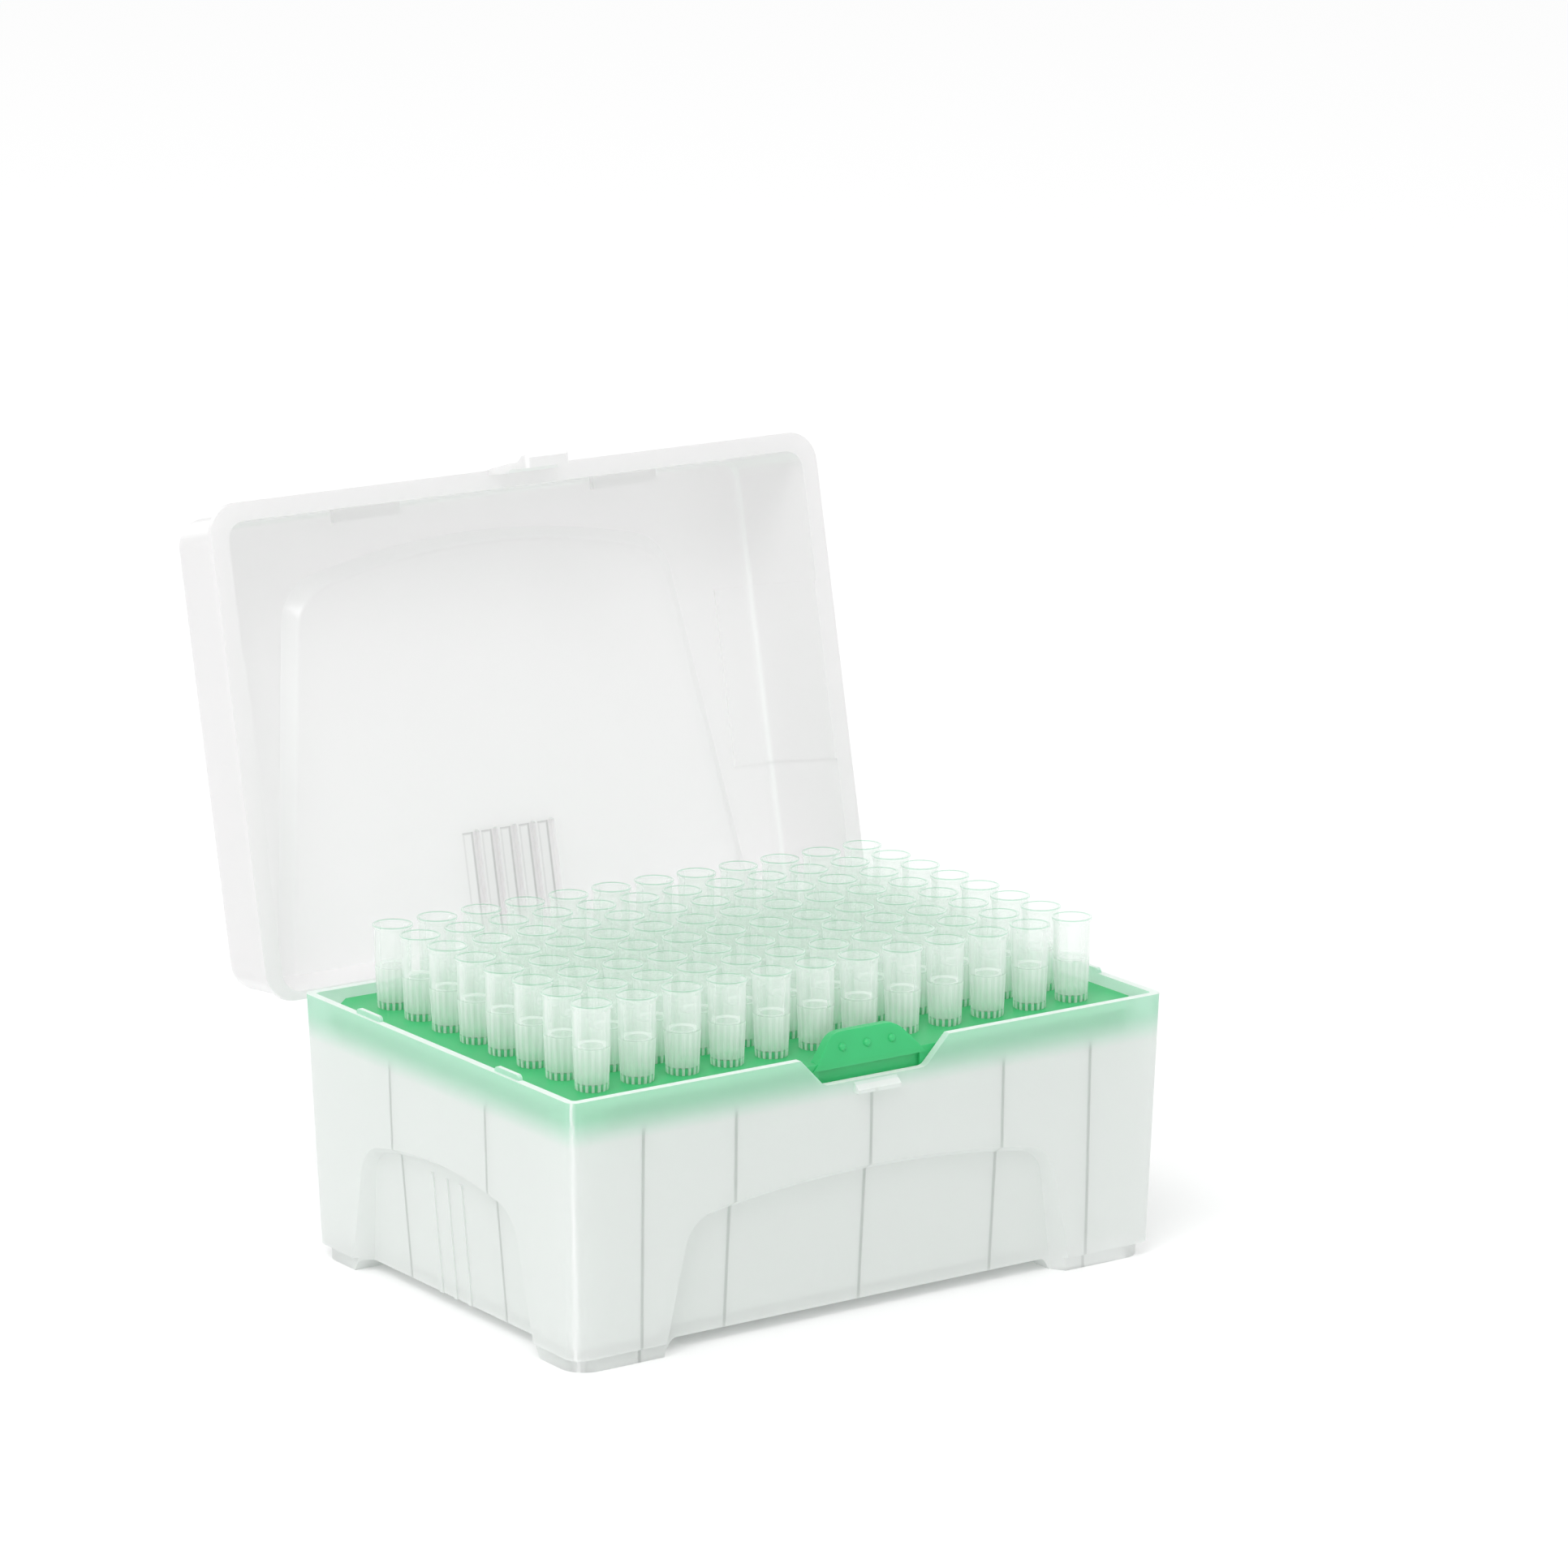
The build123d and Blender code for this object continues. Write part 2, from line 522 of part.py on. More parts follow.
def make_lid_closed():
    z_top = BASE_HEIGHT + LID_DEPTH
    body = lid_form(0, 0, LID_EDGE_RADIUS)
    body -= lid_panel(0, 0)
    top_edges = [e for e in body.edges() if abs(e.center().Z - z_top) < 0.01]
    border = [e for e in top_edges if abs(e.center().X) < LID_PANEL_HALF[0]]
    border = [e for e in border if LID_PANEL_CROWN_Y - 2 < e.center().Y < LID_TOP_Y[1] - 4]
    body = fillet(border, LID_PANEL_EASE)
    bar_limit = lid_form(LID_RIB_INSET[0], 0, LID_EDGE_RADIUS)
    bar_low = z_top - LID_PANEL_DEPTH - LID_RIB_ROOT[0]
    for bar in corrugations(LID_RIB_WIDTH[0], bar_low, LID_RIB_HEIGHT[0]):
        body += bar & bar_limit

    # Flange round the front and both short sides, flush with the wall at the hinge side
    proud, thickness = FLANGE
    front = LID_RIM_Y[0] - proud
    length = LID_RIM_Y[1] - front
    flange = rounded(LID_RIM_HALF_X + proud, length / 2, FLANGE_CORNER, BASE_HEIGHT, front + length / 2)
    body += extrude(flange, thickness)

    hollow = lid_form(LID_WALL, LID_TOP_WALL, LID_INNER_RADIUS)
    hollow -= lid_panel(LID_PANEL_GROW, LID_TOP_WALL)
    groove_limit = lid_form(LID_RIB_INSET[1], LID_TOP_WALL, LID_INNER_RADIUS)
    groove_low = z_top - LID_PANEL_DEPTH - LID_TOP_WALL - LID_RIB_ROOT[1]
    for bar in corrugations(LID_RIB_WIDTH[1], groove_low, LID_RIB_HEIGHT[1]):
        hollow += bar & groove_limit
    for space in side_pads():
        hollow -= space
    body -= hollow

    width, reach, thick = FRONT_STOP
    root = LID_RIM_Y[0] + LID_WALL - FRONT_STOP_ROOT
    length = reach + FRONT_STOP_ROOT
    for side in (-1, 1):
        stop = Box(width, length, thick)
        body += Pos(side * FRONT_STOP_X, root + length / 2, BASE_HEIGHT + FRONT_STOP_Z) * stop

    for x in HINGE_X:
        body += hinge_clip(x)
    return body + front_tongue()


def make_lid():
    axis = Axis((0, HINGE_Y, HINGE_Z), (1, 0, 0))
    return make_lid_closed().rotate(axis, -OPEN_ANGLE)


def save(shape, name, colour):
    shape.label = name
    shape.color = Color(*colour)
    export_step(shape, f"parts/{name}.step")


def main():
    os.makedirs("parts", exist_ok=True)
    move = Pos(0, -CENTRE_Y, 0)
    save(move * make_base(), "box_base", (0.88, 0.90, 0.89))
    save(move * make_tray(), "tip_tray", (0.25, 0.75, 0.48))
    save(move * make_lid(), "lid", (0.90, 0.91, 0.91))
    tip = move * Pos(0, 0, DECK_Z) * make_tip()
    for i in range(COLUMNS):
        x = (i - (COLUMNS - 1) / 2) * PITCH
        tips = [Pos(x, (j - (ROWS - 1) / 2) * PITCH, 0) * tip for j in range(ROWS)]
        save(Compound(children=tips), f"tips_column_{i + 1:02d}", (0.90, 0.95, 0.93))


main()
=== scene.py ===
# Open box of pipette tips: frosted base and lid, green tray, clear ribbed tips.
import json
from math import cos, pi, radians, sin

import bpy
import bmesh
from mathutils import Matrix, Vector

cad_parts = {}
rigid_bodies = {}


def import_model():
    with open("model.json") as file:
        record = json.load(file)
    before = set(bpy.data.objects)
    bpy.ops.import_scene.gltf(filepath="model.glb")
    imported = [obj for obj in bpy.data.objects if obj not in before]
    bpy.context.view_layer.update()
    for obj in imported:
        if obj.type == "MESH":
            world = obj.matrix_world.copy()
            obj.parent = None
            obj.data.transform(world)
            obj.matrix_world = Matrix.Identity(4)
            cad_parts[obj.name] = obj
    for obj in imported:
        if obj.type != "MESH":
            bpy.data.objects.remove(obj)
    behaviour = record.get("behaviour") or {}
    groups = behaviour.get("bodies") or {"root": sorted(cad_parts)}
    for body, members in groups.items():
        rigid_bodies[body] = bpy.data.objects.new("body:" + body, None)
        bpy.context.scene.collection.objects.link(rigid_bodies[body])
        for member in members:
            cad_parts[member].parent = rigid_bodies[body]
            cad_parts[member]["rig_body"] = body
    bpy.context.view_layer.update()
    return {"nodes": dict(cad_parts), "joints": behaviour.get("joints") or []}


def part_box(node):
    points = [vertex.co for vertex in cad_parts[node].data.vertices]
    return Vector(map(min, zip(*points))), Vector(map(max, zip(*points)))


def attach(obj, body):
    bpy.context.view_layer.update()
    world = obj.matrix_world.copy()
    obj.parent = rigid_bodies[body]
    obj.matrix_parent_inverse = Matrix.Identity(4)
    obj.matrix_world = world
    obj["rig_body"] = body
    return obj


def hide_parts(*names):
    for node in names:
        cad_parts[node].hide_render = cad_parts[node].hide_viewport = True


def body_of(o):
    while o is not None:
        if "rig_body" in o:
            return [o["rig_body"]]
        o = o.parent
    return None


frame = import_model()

scene = bpy.context.scene
mm = 0.001
white = (1, 1, 1, 1)


# Helpers for node trees and meshes

def addNode(tree, kind, **settings):
    node = tree.nodes.new(kind)
    for key, value in settings.items():
        setattr(node, key, value)
    return node


# sets a node's inputs; each value is a constant or another node's output
def setInputs(node, values):
    for key, value in values.items():
        if isinstance(value, bpy.types.NodeSocket):
            node.id_data.links.new(value, node.inputs[key])
        else:
            node.inputs[key].default_value = value


# lays a tree's nodes out in columns, by their distance from the output
def arrange(tree, columnWidth=220, rowHeight=240):
    column = {}
    pending = [(node, 0) for node in tree.nodes]
    while pending:
        node, distance = pending.pop()
        if column.get(node.name, -1) < distance:
            column[node.name] = distance
            for socket in node.inputs:
                pending += [(link.from_node, distance + 1) for link in socket.links]
    rows = {}
    for node in tree.nodes:
        place = column[node.name]
        rows[place] = rows.get(place, 0) + 1
        node.location = (-columnWidth * place, -rowHeight * rows[place])


def startMaterial(name):
    material = bpy.data.materials.new(name)
    material.use_nodes = True
    material.node_tree.nodes.clear()
    return material, material.node_tree


# joins the finished surface to the tree's output
def finishTree(tree, surface, output="ShaderNodeOutputMaterial"):
    setInputs(addNode(tree, output), {"Surface": surface})
    arrange(tree)


# the piece's own X, Y and Z
def objectPlace(tree):
    coords = addNode(tree, "ShaderNodeTexCoord")
    split = addNode(tree, "ShaderNodeSeparateXYZ")
    setInputs(split, {"Vector": coords.outputs["Object"]})
    return split.outputs["X"], split.outputs["Y"], split.outputs["Z"]


def addNoise(tree, scale, detail, roughness=0.55):
    coords = addNode(tree, "ShaderNodeTexCoord")
    noise = addNode(tree, "ShaderNodeTexNoise")
    setInputs(noise, {"Scale": scale, "Detail": detail, "Roughness": roughness})
    setInputs(noise, {"Vector": coords.outputs["Object"]})
    return noise.outputs["Fac"]


def mapRange(tree, value, low, high, start=0.0, end=1.0):
    node = addNode(tree, "ShaderNodeMapRange")
    setInputs(node, {"Value": value, "From Min": start, "From Max": end, "To Min": low, "To Max": high})
    return node.outputs["Result"]


# result of one sum; each value is a socket or a number
def calculate(tree, operation, *values, clamp=False):
    node = addNode(tree, "ShaderNodeMath", operation=operation, use_clamp=clamp)
    setInputs(node, dict(enumerate(values)))
    return node.outputs["Value"]


# one operation run through a whole list, such as the largest or the product of all
def combine(tree, operation, values):
    result = values[0]
    for value in values[1:]:
        result = calculate(tree, operation, result, value)
    return result


# strength close to a place, falling to 0 across the span of distances from it
def softLine(tree, value, place, strength, span):
    away = calculate(tree, "ABSOLUTE", calculate(tree, "SUBTRACT", value, place))
    return mapRange(tree, away, strength, 0.0, *span)


def mixShaders(tree, factor, first, second):
    node = addNode(tree, "ShaderNodeMixShader")
    setInputs(node, {0: factor, 1: first, 2: second})
    return node.outputs["Shader"]


# scattered light of a cloudy plastic, part of it coming back and part going through
def addMilk(tree, colour, through):
    back = addNode(tree, "ShaderNodeBsdfDiffuse")
    beyond = addNode(tree, "ShaderNodeBsdfTranslucent")
    for node in (back, beyond):
        setInputs(node, {"Color": (*colour, 1)})
    return mixShaders(tree, through, back.outputs["BSDF"], beyond.outputs["BSDF"])


# colour that runs from low to high as the factor crosses the span
def mixColours(tree, factor, low, high, span):
    node = addNode(tree, "ShaderNodeValToRGB")
    for stop, position, colour in zip(node.color_ramp.elements, span, (low, high)):
        stop.position = position
        stop.color = (*colour, 1)
    setInputs(node, {"Fac": factor})
    return node.outputs["Color"]


# tint that drifts softly over the piece
def addClouds(tree, look):
    noise = addNoise(tree, look["cloudScale"], detail=3.0)
    return mixColours(tree, noise, look["tintDense"], look["tint"], look["cloudSpan"])


# normals roughened by the grain of a moulded surface
def addGrain(tree, look):
    bump = addNode(tree, "ShaderNodeBump")
    grain = addNoise(tree, look["grainScale"], detail=2.0)
    setInputs(bump, {"Strength": look["grainStrength"], "Distance": look["grainHeight"], "Height": grain})
    return bump.outputs["Normal"]


def addObject(name, data):
    item = bpy.data.objects.new(name, data)
    scene.collection.objects.link(item)
    return item


def smoothFaces(shape, sharpAngle):
    for face in shape.faces:
        face.smooth = True
    for edge in shape.edges:
        edge.smooth = len(edge.link_faces) == 2 and edge.calc_face_angle(pi) < radians(sharpAngle)


# copy of a CAD node with its vertices joined and round areas smooth
def smoothCopy(nodeName, pieceName, joinDistance=0.002 * mm, sharpAngle=32.0):
    mesh = frame["nodes"][nodeName].data.copy()
    mesh.name = pieceName
    shape = bmesh.new()
    shape.from_mesh(mesh)
    bmesh.ops.remove_doubles(shape, verts=shape.verts, dist=joinDistance)
    smoothFaces(shape, sharpAngle)
    shape.to_mesh(mesh)
    shape.free()
    mesh.materials.clear()
    piece = addObject(pieceName, mesh)
    weighted = piece.modifiers.new("weighted", "WEIGHTED_NORMAL")
    weighted.keep_sharp = True
    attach(piece, body_of(frame["nodes"][nodeName])[0])
    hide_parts(nodeName)
    return piece


# Frosted plastic of the base and lid

frostedBase = {
    "tint": (0.995, 1.0, 0.997),
    "tintDense": (0.98, 0.992, 0.985),
    "cloudScale": 38.0,
    "cloudSpan": (0.25, 0.6),
    "grainScale": 900.0,
    "grainStrength": 0.15,
    "grainHeight": 0.05 * mm,
    "roughness": 0.42,
    "ior": 1.45,
    "milk": (0.955, 0.976, 0.963),
    "facingBlend": 0.3,
    "milkShare": (0.7, 0.88),           # facing the eye, and at a glancing angle
    "milkThrough": 0.25,
    "gloss": 0.04,
    "glossRoughness": 0.3,
    # painted highlight: rims, corners and sloped borders take a whiter milk
    "edges": {
        "openAngle": 0.0,
        "flatAxes": ((1, 0, 0), (0, 1, 0)),
        "from": 0.16,                   # lean out of the flat at which the painted highlight starts to whiten a face
        "fade": 0.12,
        "borderSlope": (0.2, 0.95),
        "border": 0.3,                  # the most that the painted highlight whitens a sloped border
        "milk": (0.975, 0.985, 0.98),
        "share": 0.85,
        "through": 0.2,
    },
    # painted shade beside the inner ribs, and a painted green glow before the tray's skirt
    "ribShadeAndTrayGlow": {
        "middleY": -21.25 * mm,         # middle of the base, with the hinge brackets left out
        "longWallRibs": [x * mm for x in (-46.7, -28.2, -0.7, 26.8, 45.3)],
        "longWallFrom": 37.0 * mm,
        "shortWallRibs": [y * mm for y in (-16.0, 14.5)],
        "shortWallFrom": 54.5 * mm,
        "ribTop": (40.1 * mm, 41.1 * mm),
        "line": (0.2 * mm, 0.4 * mm),
        "shade": 0.12,
        # a clearer band before the tray's skirt, with a painted green glow of the tray seen through the
        # wall
        "skirt": (39.4 * mm, 44.0 * mm),
        "skirtUpTo": 43.2 * mm,         # outer face of the wall, so that the brackets stay plain
        "skirtClear": 0.4,
        "trayGlowMilk": (0.6, 0.97, 0.78),
    },
}

frostedLid = {
    "tint": (0.99, 0.99, 0.99),
    "tintDense": (0.975, 0.977, 0.976),
    "cloudScale": 38.0,
    "cloudSpan": (0.25, 0.6),
    "grainScale": 700.0,
    "grainStrength": 0.22,
    "grainHeight": 0.06 * mm,
    "roughness": 0.5,
    "ior": 1.45,
    "milk": (0.98, 0.972, 0.976),
    # painted shade: a darker milk high up and on the short sides
    "milkShaded": (0.935, 0.928, 0.931),
    "shadeHeights": (52 * mm, 112 * mm),
    "shadeSides": (56 * mm, 59 * mm),    # distance from the middle along X
    "facingBlend": 0.3,
    "milkShare": (0.75, 0.88),
    "milkThrough": 0.45,
    "gloss": 0.06,
    "glossRoughness": 0.22,
    # painted highlight: rims, corners and sloped borders take a whiter milk
    "edges": {
        "openAngle": frame["joints"][0]["range_deg"][1],
        "flatAxes": ((1, 0, 0), (0, 1, 0), (0, 0, 1)),
        "from": 0.06,
        "fade": 0.12,
        "borderSlope": (0.2, 0.95),
        "border": 1.0,
        "milk": (0.97, 0.97, 0.97),
        "share": 0.95,
        "through": 0.2,
    },
    # painted shade along the lid panel's corrugations: a faint and a dark line beside each groove, and a
    # dark arc at its top end
    "grooveShade": {
        "pitch": 4.0 * mm,
        "width": 2.0 * mm,
        "firstX": -11.0 * mm,
        "lastX": 7.7 * mm,
        "fieldX": (-11.3 * mm, 10.2 * mm),
        "fromY": 44.0 * mm,
        "heights": (44.5 * mm, 63.0 * mm),
        "lightSide": (0.15 * mm, 0.35),     # place across the groove, and strength, of the fainter painted shade line
        "darkSide": (2.0 * mm, 1.0),
        "line": (0.1 * mm, 0.32 * mm),
        "endStrength": 0.8,
        "endLine": (0.2 * mm, 0.5 * mm),
        "shade": 0.3,
        "zoneShare": 0.97,
    },
}


# face attribute "edge", the mask of a painted highlight: 0 on the flat walls, 1 on rims and corners, at
# most "border" on sloped borders
def paintEdgeHighlights(mesh, edges):
    turn = Matrix.Rotation(radians(-edges["openAngle"]), 3, "X")
    flats = [turn @ Vector(axis) for axis in edges["flatAxes"]]
    up = turn @ Vector((0, 0, 1))
    least, most = edges["borderSlope"]
    attribute = mesh.attributes.new("edge", "FLOAT", "FACE")
    for face in mesh.polygons:
        lean = 1 - max(abs(face.normal.dot(flat)) for flat in flats)
        limit = edges["border"] if least < abs(face.normal.dot(up)) < most else 1
        attribute.data[face.index].value = min(max((lean - edges["from"]) / edges["fade"], 0), limit)


# milk with darker lines of painted shade drawn on it
def shadeLines(tree, milk, shadeMask, colour, shade, through=0.5):
    shadow = addMilk(tree, [channel * (1 - shade) for channel in colour], through)
    return mixShaders(tree, shadeMask, milk, shadow)


# the base's walls: dark lines of painted shade on the shaded sides of the inner ribs, and a clearer band
# before the tray's skirt, painted green with the tray's light seen through it
def paintBase(tree, look, milk, share):
    ribShadeAndTrayGlow = look["ribShadeAndTrayGlow"]
    x, y, z = objectPlace(tree)
    fromMiddle = calculate(tree, "SUBTRACT", y, ribShadeAndTrayGlow["middleY"])
    along = calculate(tree, "ABSOLUTE", x)
    across = calculate(tree, "ABSOLUTE", fromMiddle)
    walls = []
    # painted shade: a dark stripe on the shaded side of each inner rib, below the ribs' tops
    for position, ribs, wall, wallFrom in (
            (x, ribShadeAndTrayGlow["longWallRibs"], across, ribShadeAndTrayGlow["longWallFrom"]),
            (fromMiddle, ribShadeAndTrayGlow["shortWallRibs"], along, ribShadeAndTrayGlow["shortWallFrom"])):
        stripes = [softLine(tree, position, rib, 1.0, ribShadeAndTrayGlow["line"]) for rib in ribs]
        onWall = calculate(tree, "GREATER_THAN", wall, wallFrom)
        walls.append(calculate(tree, "MULTIPLY", combine(tree, "MAXIMUM", stripes), onWall))
    belowTop = mapRange(tree, z, 1.0, 0.0, *ribShadeAndTrayGlow["ribTop"])
    shadeMask = calculate(tree, "MULTIPLY", combine(tree, "MAXIMUM", walls), belowTop)
    milk = shadeLines(tree, milk, shadeMask, look["milk"], ribShadeAndTrayGlow["shade"])

    # the band is clearer, and painted green where the tray's light shows through the wall
    onShell = calculate(tree, "LESS_THAN", across, ribShadeAndTrayGlow["skirtUpTo"])
    skirt = calculate(tree, "MULTIPLY", mapRange(tree, z, 0.0, 1.0, *ribShadeAndTrayGlow["skirt"]), onShell)
    milk = mixShaders(tree, skirt, milk, addMilk(tree, ribShadeAndTrayGlow["trayGlowMilk"], look["milkThrough"]))
    clearing = mapRange(tree, skirt, 1.0, 1.0 - ribShadeAndTrayGlow["skirtClear"])
    return milk, calculate(tree, "MULTIPLY", share, clearing)


# the lid's walls: painted shade high up and on the short sides, and lines of painted shade along the
# panel's corrugations
def paintLid(tree, look, milk, share):
    grooveShade = look["grooveShade"]
    x, y, z = objectPlace(tree)
    # painted shade, darker high up and on the short sides
    onSide = mapRange(tree, calculate(tree, "ABSOLUTE", x), 0.0, 1.0, *look["shadeSides"])
    paintedShade = calculate(tree, "MAXIMUM", mapRange(tree, z, 0.0, 1.0, *look["shadeHeights"]), onSide)
    milk = mixShaders(tree, paintedShade, milk, addMilk(tree, look["milkShaded"], look["milkThrough"]))

    # painted shade lines along the corrugations, with an arc at each top end
    fromFirst = calculate(tree, "SUBTRACT", x, grooveShade["firstX"])
    local = calculate(tree, "WRAP", fromFirst, grooveShade["pitch"], 0.0)
    sides = [softLine(tree, local, *grooveShade[side], grooveShade["line"]) for side in ("lightSide", "darkSide")]
    end = softLine(tree, z, grooveShade["heights"][1], grooveShade["endStrength"], grooveShade["endLine"])
    end = calculate(tree, "MULTIPLY", end, calculate(tree, "LESS_THAN", local, grooveShade["width"]))
    zone = combine(tree, "MULTIPLY", [
        calculate(tree, "GREATER_THAN", x, grooveShade["fieldX"][0]),
        calculate(tree, "LESS_THAN", x, grooveShade["fieldX"][1]),
        calculate(tree, "GREATER_THAN", y, grooveShade["fromY"]),
        calculate(tree, "GREATER_THAN", z, grooveShade["heights"][0]),
        calculate(tree, "LESS_THAN", z, grooveShade["heights"][1]),
    ])
    drawn = calculate(tree, "LESS_THAN", x, grooveShade["lastX"])
    shadeMask = combine(tree, "MULTIPLY", [combine(tree, "MAXIMUM", sides + [end]), zone, drawn])
    milk = shadeLines(tree, milk, shadeMask, look["milk"], grooveShade["shade"])
    dense = calculate(tree, "MULTIPLY", zone, grooveShade["zoneShare"])
    return milk, calculate(tree, "MAXIMUM", share, dense)


def frostedMaterial(name, look, paint):
    material, tree = startMaterial(name)
    normals = addGrain(tree, look)
    plastic = addNode(tree, "ShaderNodeBsdfPrincipled")
    setInputs(plastic, {
        "Base Color": addClouds(tree, look),
        "Normal": normals,
        "Roughness": look["roughness"],
        "IOR": look["ior"],
        "Transmission Weight": 1.0,
    })
    facing = addNode(tree, "ShaderNodeLayerWeight")
    setInputs(facing, {"Blend": look["facingBlend"]})
    share = mapRange(tree, facing.outputs["Facing"], *look["milkShare"])
    milk, share = paint(tree, look, addMilk(tree, look["milk"], look["milkThrough"]), share)
    surface = mixShaders(tree, share, plastic.outputs["BSDF"], milk)

    # painted highlight: whiter milk on the faces that the "edge" attribute marks
    edges = look["edges"]
    edge = addNode(tree, "ShaderNodeAttribute", attribute_name="edge")
    highlightShare = mapRange(tree, edge.outputs["Fac"], 0.0, edges["share"])
    surface = mixShaders(tree, highlightShare, surface, addMilk(tree, edges["milk"], edges["through"]))
    polish = addNode(tree, "ShaderNodeBsdfGlossy")
    setInputs(polish, {"Color": white, "Roughness": look["glossRoughness"], "Normal": normals})
    finishTree(tree, mixShaders(tree, look["gloss"], surface, polish.outputs["BSDF"]))
    return material


def makeShell(nodeName, pieceName, look, paint):
    piece = smoothCopy(nodeName, pieceName)
    paintEdgeHighlights(piece.data, look["edges"])
    piece.data.materials.append(frostedMaterial(pieceName + "Plastic", look, paint))


# Green moulded tray

tray = {
    "tint": (0.038, 0.53, 0.178),
    "tintDense": (0.032, 0.47, 0.155),
    "cloudScale": 60.0,
    "cloudSpan": (0.3, 0.65),
    "grainScale": 1500.0,
    "grainStrength": 0.15,
    "grainHeight": 0.04 * mm,
    "roughness": 0.34,
    "ior": 1.49,
    "subsurface": 0.25,
    "subsurfaceScale": 2.0 * mm,
    "subsurfaceRadius": (0.6, 1.0, 0.7),
}


def trayMaterial(name, look):
    material, tree = startMaterial(name)
    plastic = addNode(tree, "ShaderNodeBsdfPrincipled")
    setInputs(plastic, {
        "Base Color": addClouds(tree, look),
        "Normal": addGrain(tree, look),
        "Roughness": look["roughness"],
        "IOR": look["ior"],
        "Subsurface Weight": look["subsurface"],
        "Subsurface Scale": look["subsurfaceScale"],
        "Subsurface Radius": look["subsurfaceRadius"],
    })
    finishTree(tree, plastic.outputs["BSDF"])
    return material


def makeTray(look):
    piece = smoothCopy("tip_tray", "trayPlate")
    piece.data.materials.append(trayMaterial("trayPlastic", look))


# Tips: one turned form with ribs, set out in rows by Geometry Nodes

# Its rings are in millimetres, down the outside and back up the bore: (radius, depth), with its cloud where
# it has one. A ring with ribs is (radius between, radius on a rib, depth, cloud between, cloud on a rib).
tip = {
    "ribCount": 16,
    "ribHalfAngle": 4.4,
    "ribFlank": 2.2,
    "outside": (
        (3.38, 0.0, "clear"), (3.47, 0.03, "line"), (3.5, 0.12, "line"), (3.5, 0.3, "clear"),
        (3.48, 0.5, "collar"), (3.24, 1.0, "collar"), (3.2, 1.2, "collar"), (3.16, 7.3, "collar"),
    ),
    "ribs": (
        (3.08, 3.16, 7.46, "web", "crest"), (2.72, 2.87, 13.4, "web", "crest"),
        (2.64, 2.86, 13.66, "clear", "crest"), (2.37, 2.86, 13.76, "clear", "tooth"),
        (2.35, 2.8, 14.76, "clear", "tooth"), (2.35, 2.68, 14.84, "clear", "tooth"),
    ),
    "body": (
        (2.35, 14.85), (2.07, 23.5), (2.01, 23.56), (1.73, 29.5),
        (1.69, 29.56), (1.13, 38.7), (1.08, 38.8), (0.37, 48.8),
    ),
    "bore": ((0.2, 48.8), (0.66, 38.7), (1.27, 29.5), (1.5, 23.5), (1.68, 14.85), (1.82, 7.5)),
    "mouth": (
        (2.0, 7.36, "ledge"), (2.76, 7.26, "ledge"), (2.79, 7.0, "clear"), (3.1, 0.4, "clear"),
        (3.15, 0.2, "clear"), (3.18, 0.05, "line"), (3.26, 0.0, "clear"),
    ),
    "cloud": {
        "clear": 0.0,
        # a thin line of painted shade at the rims
        "line": -1.0,
        "collar": 0.26,
        "web": 0.7,
        "crest": 0.8,
        "tooth": 1.0,
        "ledge": 0.9,
    },
    "teeth": (13.76, 14.84),            # depths where the tray shows between the ribs, painted on as a green glow
    "sharpAngle": 40.0,
    "rows": 8,
    "seed": 11,
    "clear": (0.998, 1.0, 0.999),
    "rimShadeTint": (0.62, 0.84, 0.72),
    "milk": (0.98, 1.0, 0.989),
    "through": 0.34,
    "facingBlend": 0.35,
    "haze": (0.07, 0.32),               # facing the eye, and at a glancing angle
    "cloudHaze": 0.55,
    # painted green glow of the tray between the teeth
    "trayGlowTint": (0.13, 0.68, 0.33),
    "trayGlowThrough": 0.3,
    "trayGlowShare": 0.8,
    "sheen": (0.02, 0.3),
    "roughness": 0.12,
}


# Closed mesh of one tip, mouth at z = 0, turned about Z and ribbed below the collar.
# "cloud" is how milky it is, below 0 for a thin line of painted shade at a rim, and the tray layer is 1
# where a painted green glow stands for the tray seen between the ribs.
def tipForm(look):
    step = 2 * pi / look["ribCount"]
    half = radians(look["ribHalfAngle"])
    flank = radians(look["ribHalfAngle"] + look["ribFlank"])
    angles = [k * step + offset for k in range(look["ribCount"]) for offset in (-flank, -half, half, flank)]
    crest = [False, True, True, False] * look["ribCount"]
    shape = bmesh.new()
    cloud = shape.verts.layers.float.new("cloud")
    trayGlowLayer = shape.verts.layers.float.new("trayGlow")

    def ribbedRing(low, high, depth, cloudLow, cloudHigh):
        showsTray = look["teeth"][0] <= depth <= look["teeth"][1]
        points = []
        for angle, onRib in zip(angles, crest):
            radius = (high if onRib else low) * mm
            point = shape.verts.new((radius * cos(angle), radius * sin(angle), -depth * mm))
            point[cloud] = look["cloud"][cloudHigh if onRib else cloudLow]
            point[trayGlowLayer] = float(showsTray and not onRib)
            points.append(point)
        return points

    def roundRing(radius, depth, level="clear"):
        return ribbedRing(radius, radius, depth, level, level)

    rings = [roundRing(*values) for values in look["outside"]]
    rings += [ribbedRing(*values) for values in look["ribs"]]
    rings += [roundRing(*values) for values in look["body"] + look["bore"] + look["mouth"]]
    rings.append(rings[0])
    for upper, lower in zip(rings, rings[1:]):
        for k in range(len(angles)):
            following = (k + 1) % len(angles)
            shape.faces.new((upper[k], lower[k], lower[following], upper[following]))
    bmesh.ops.recalc_face_normals(shape, faces=shape.faces)
    smoothFaces(shape, look["sharpAngle"])
    mesh = bpy.data.meshes.new("tipForm")
    shape.to_mesh(mesh)
    shape.free()
    return bpy.data.objects.new("tipForm", mesh)


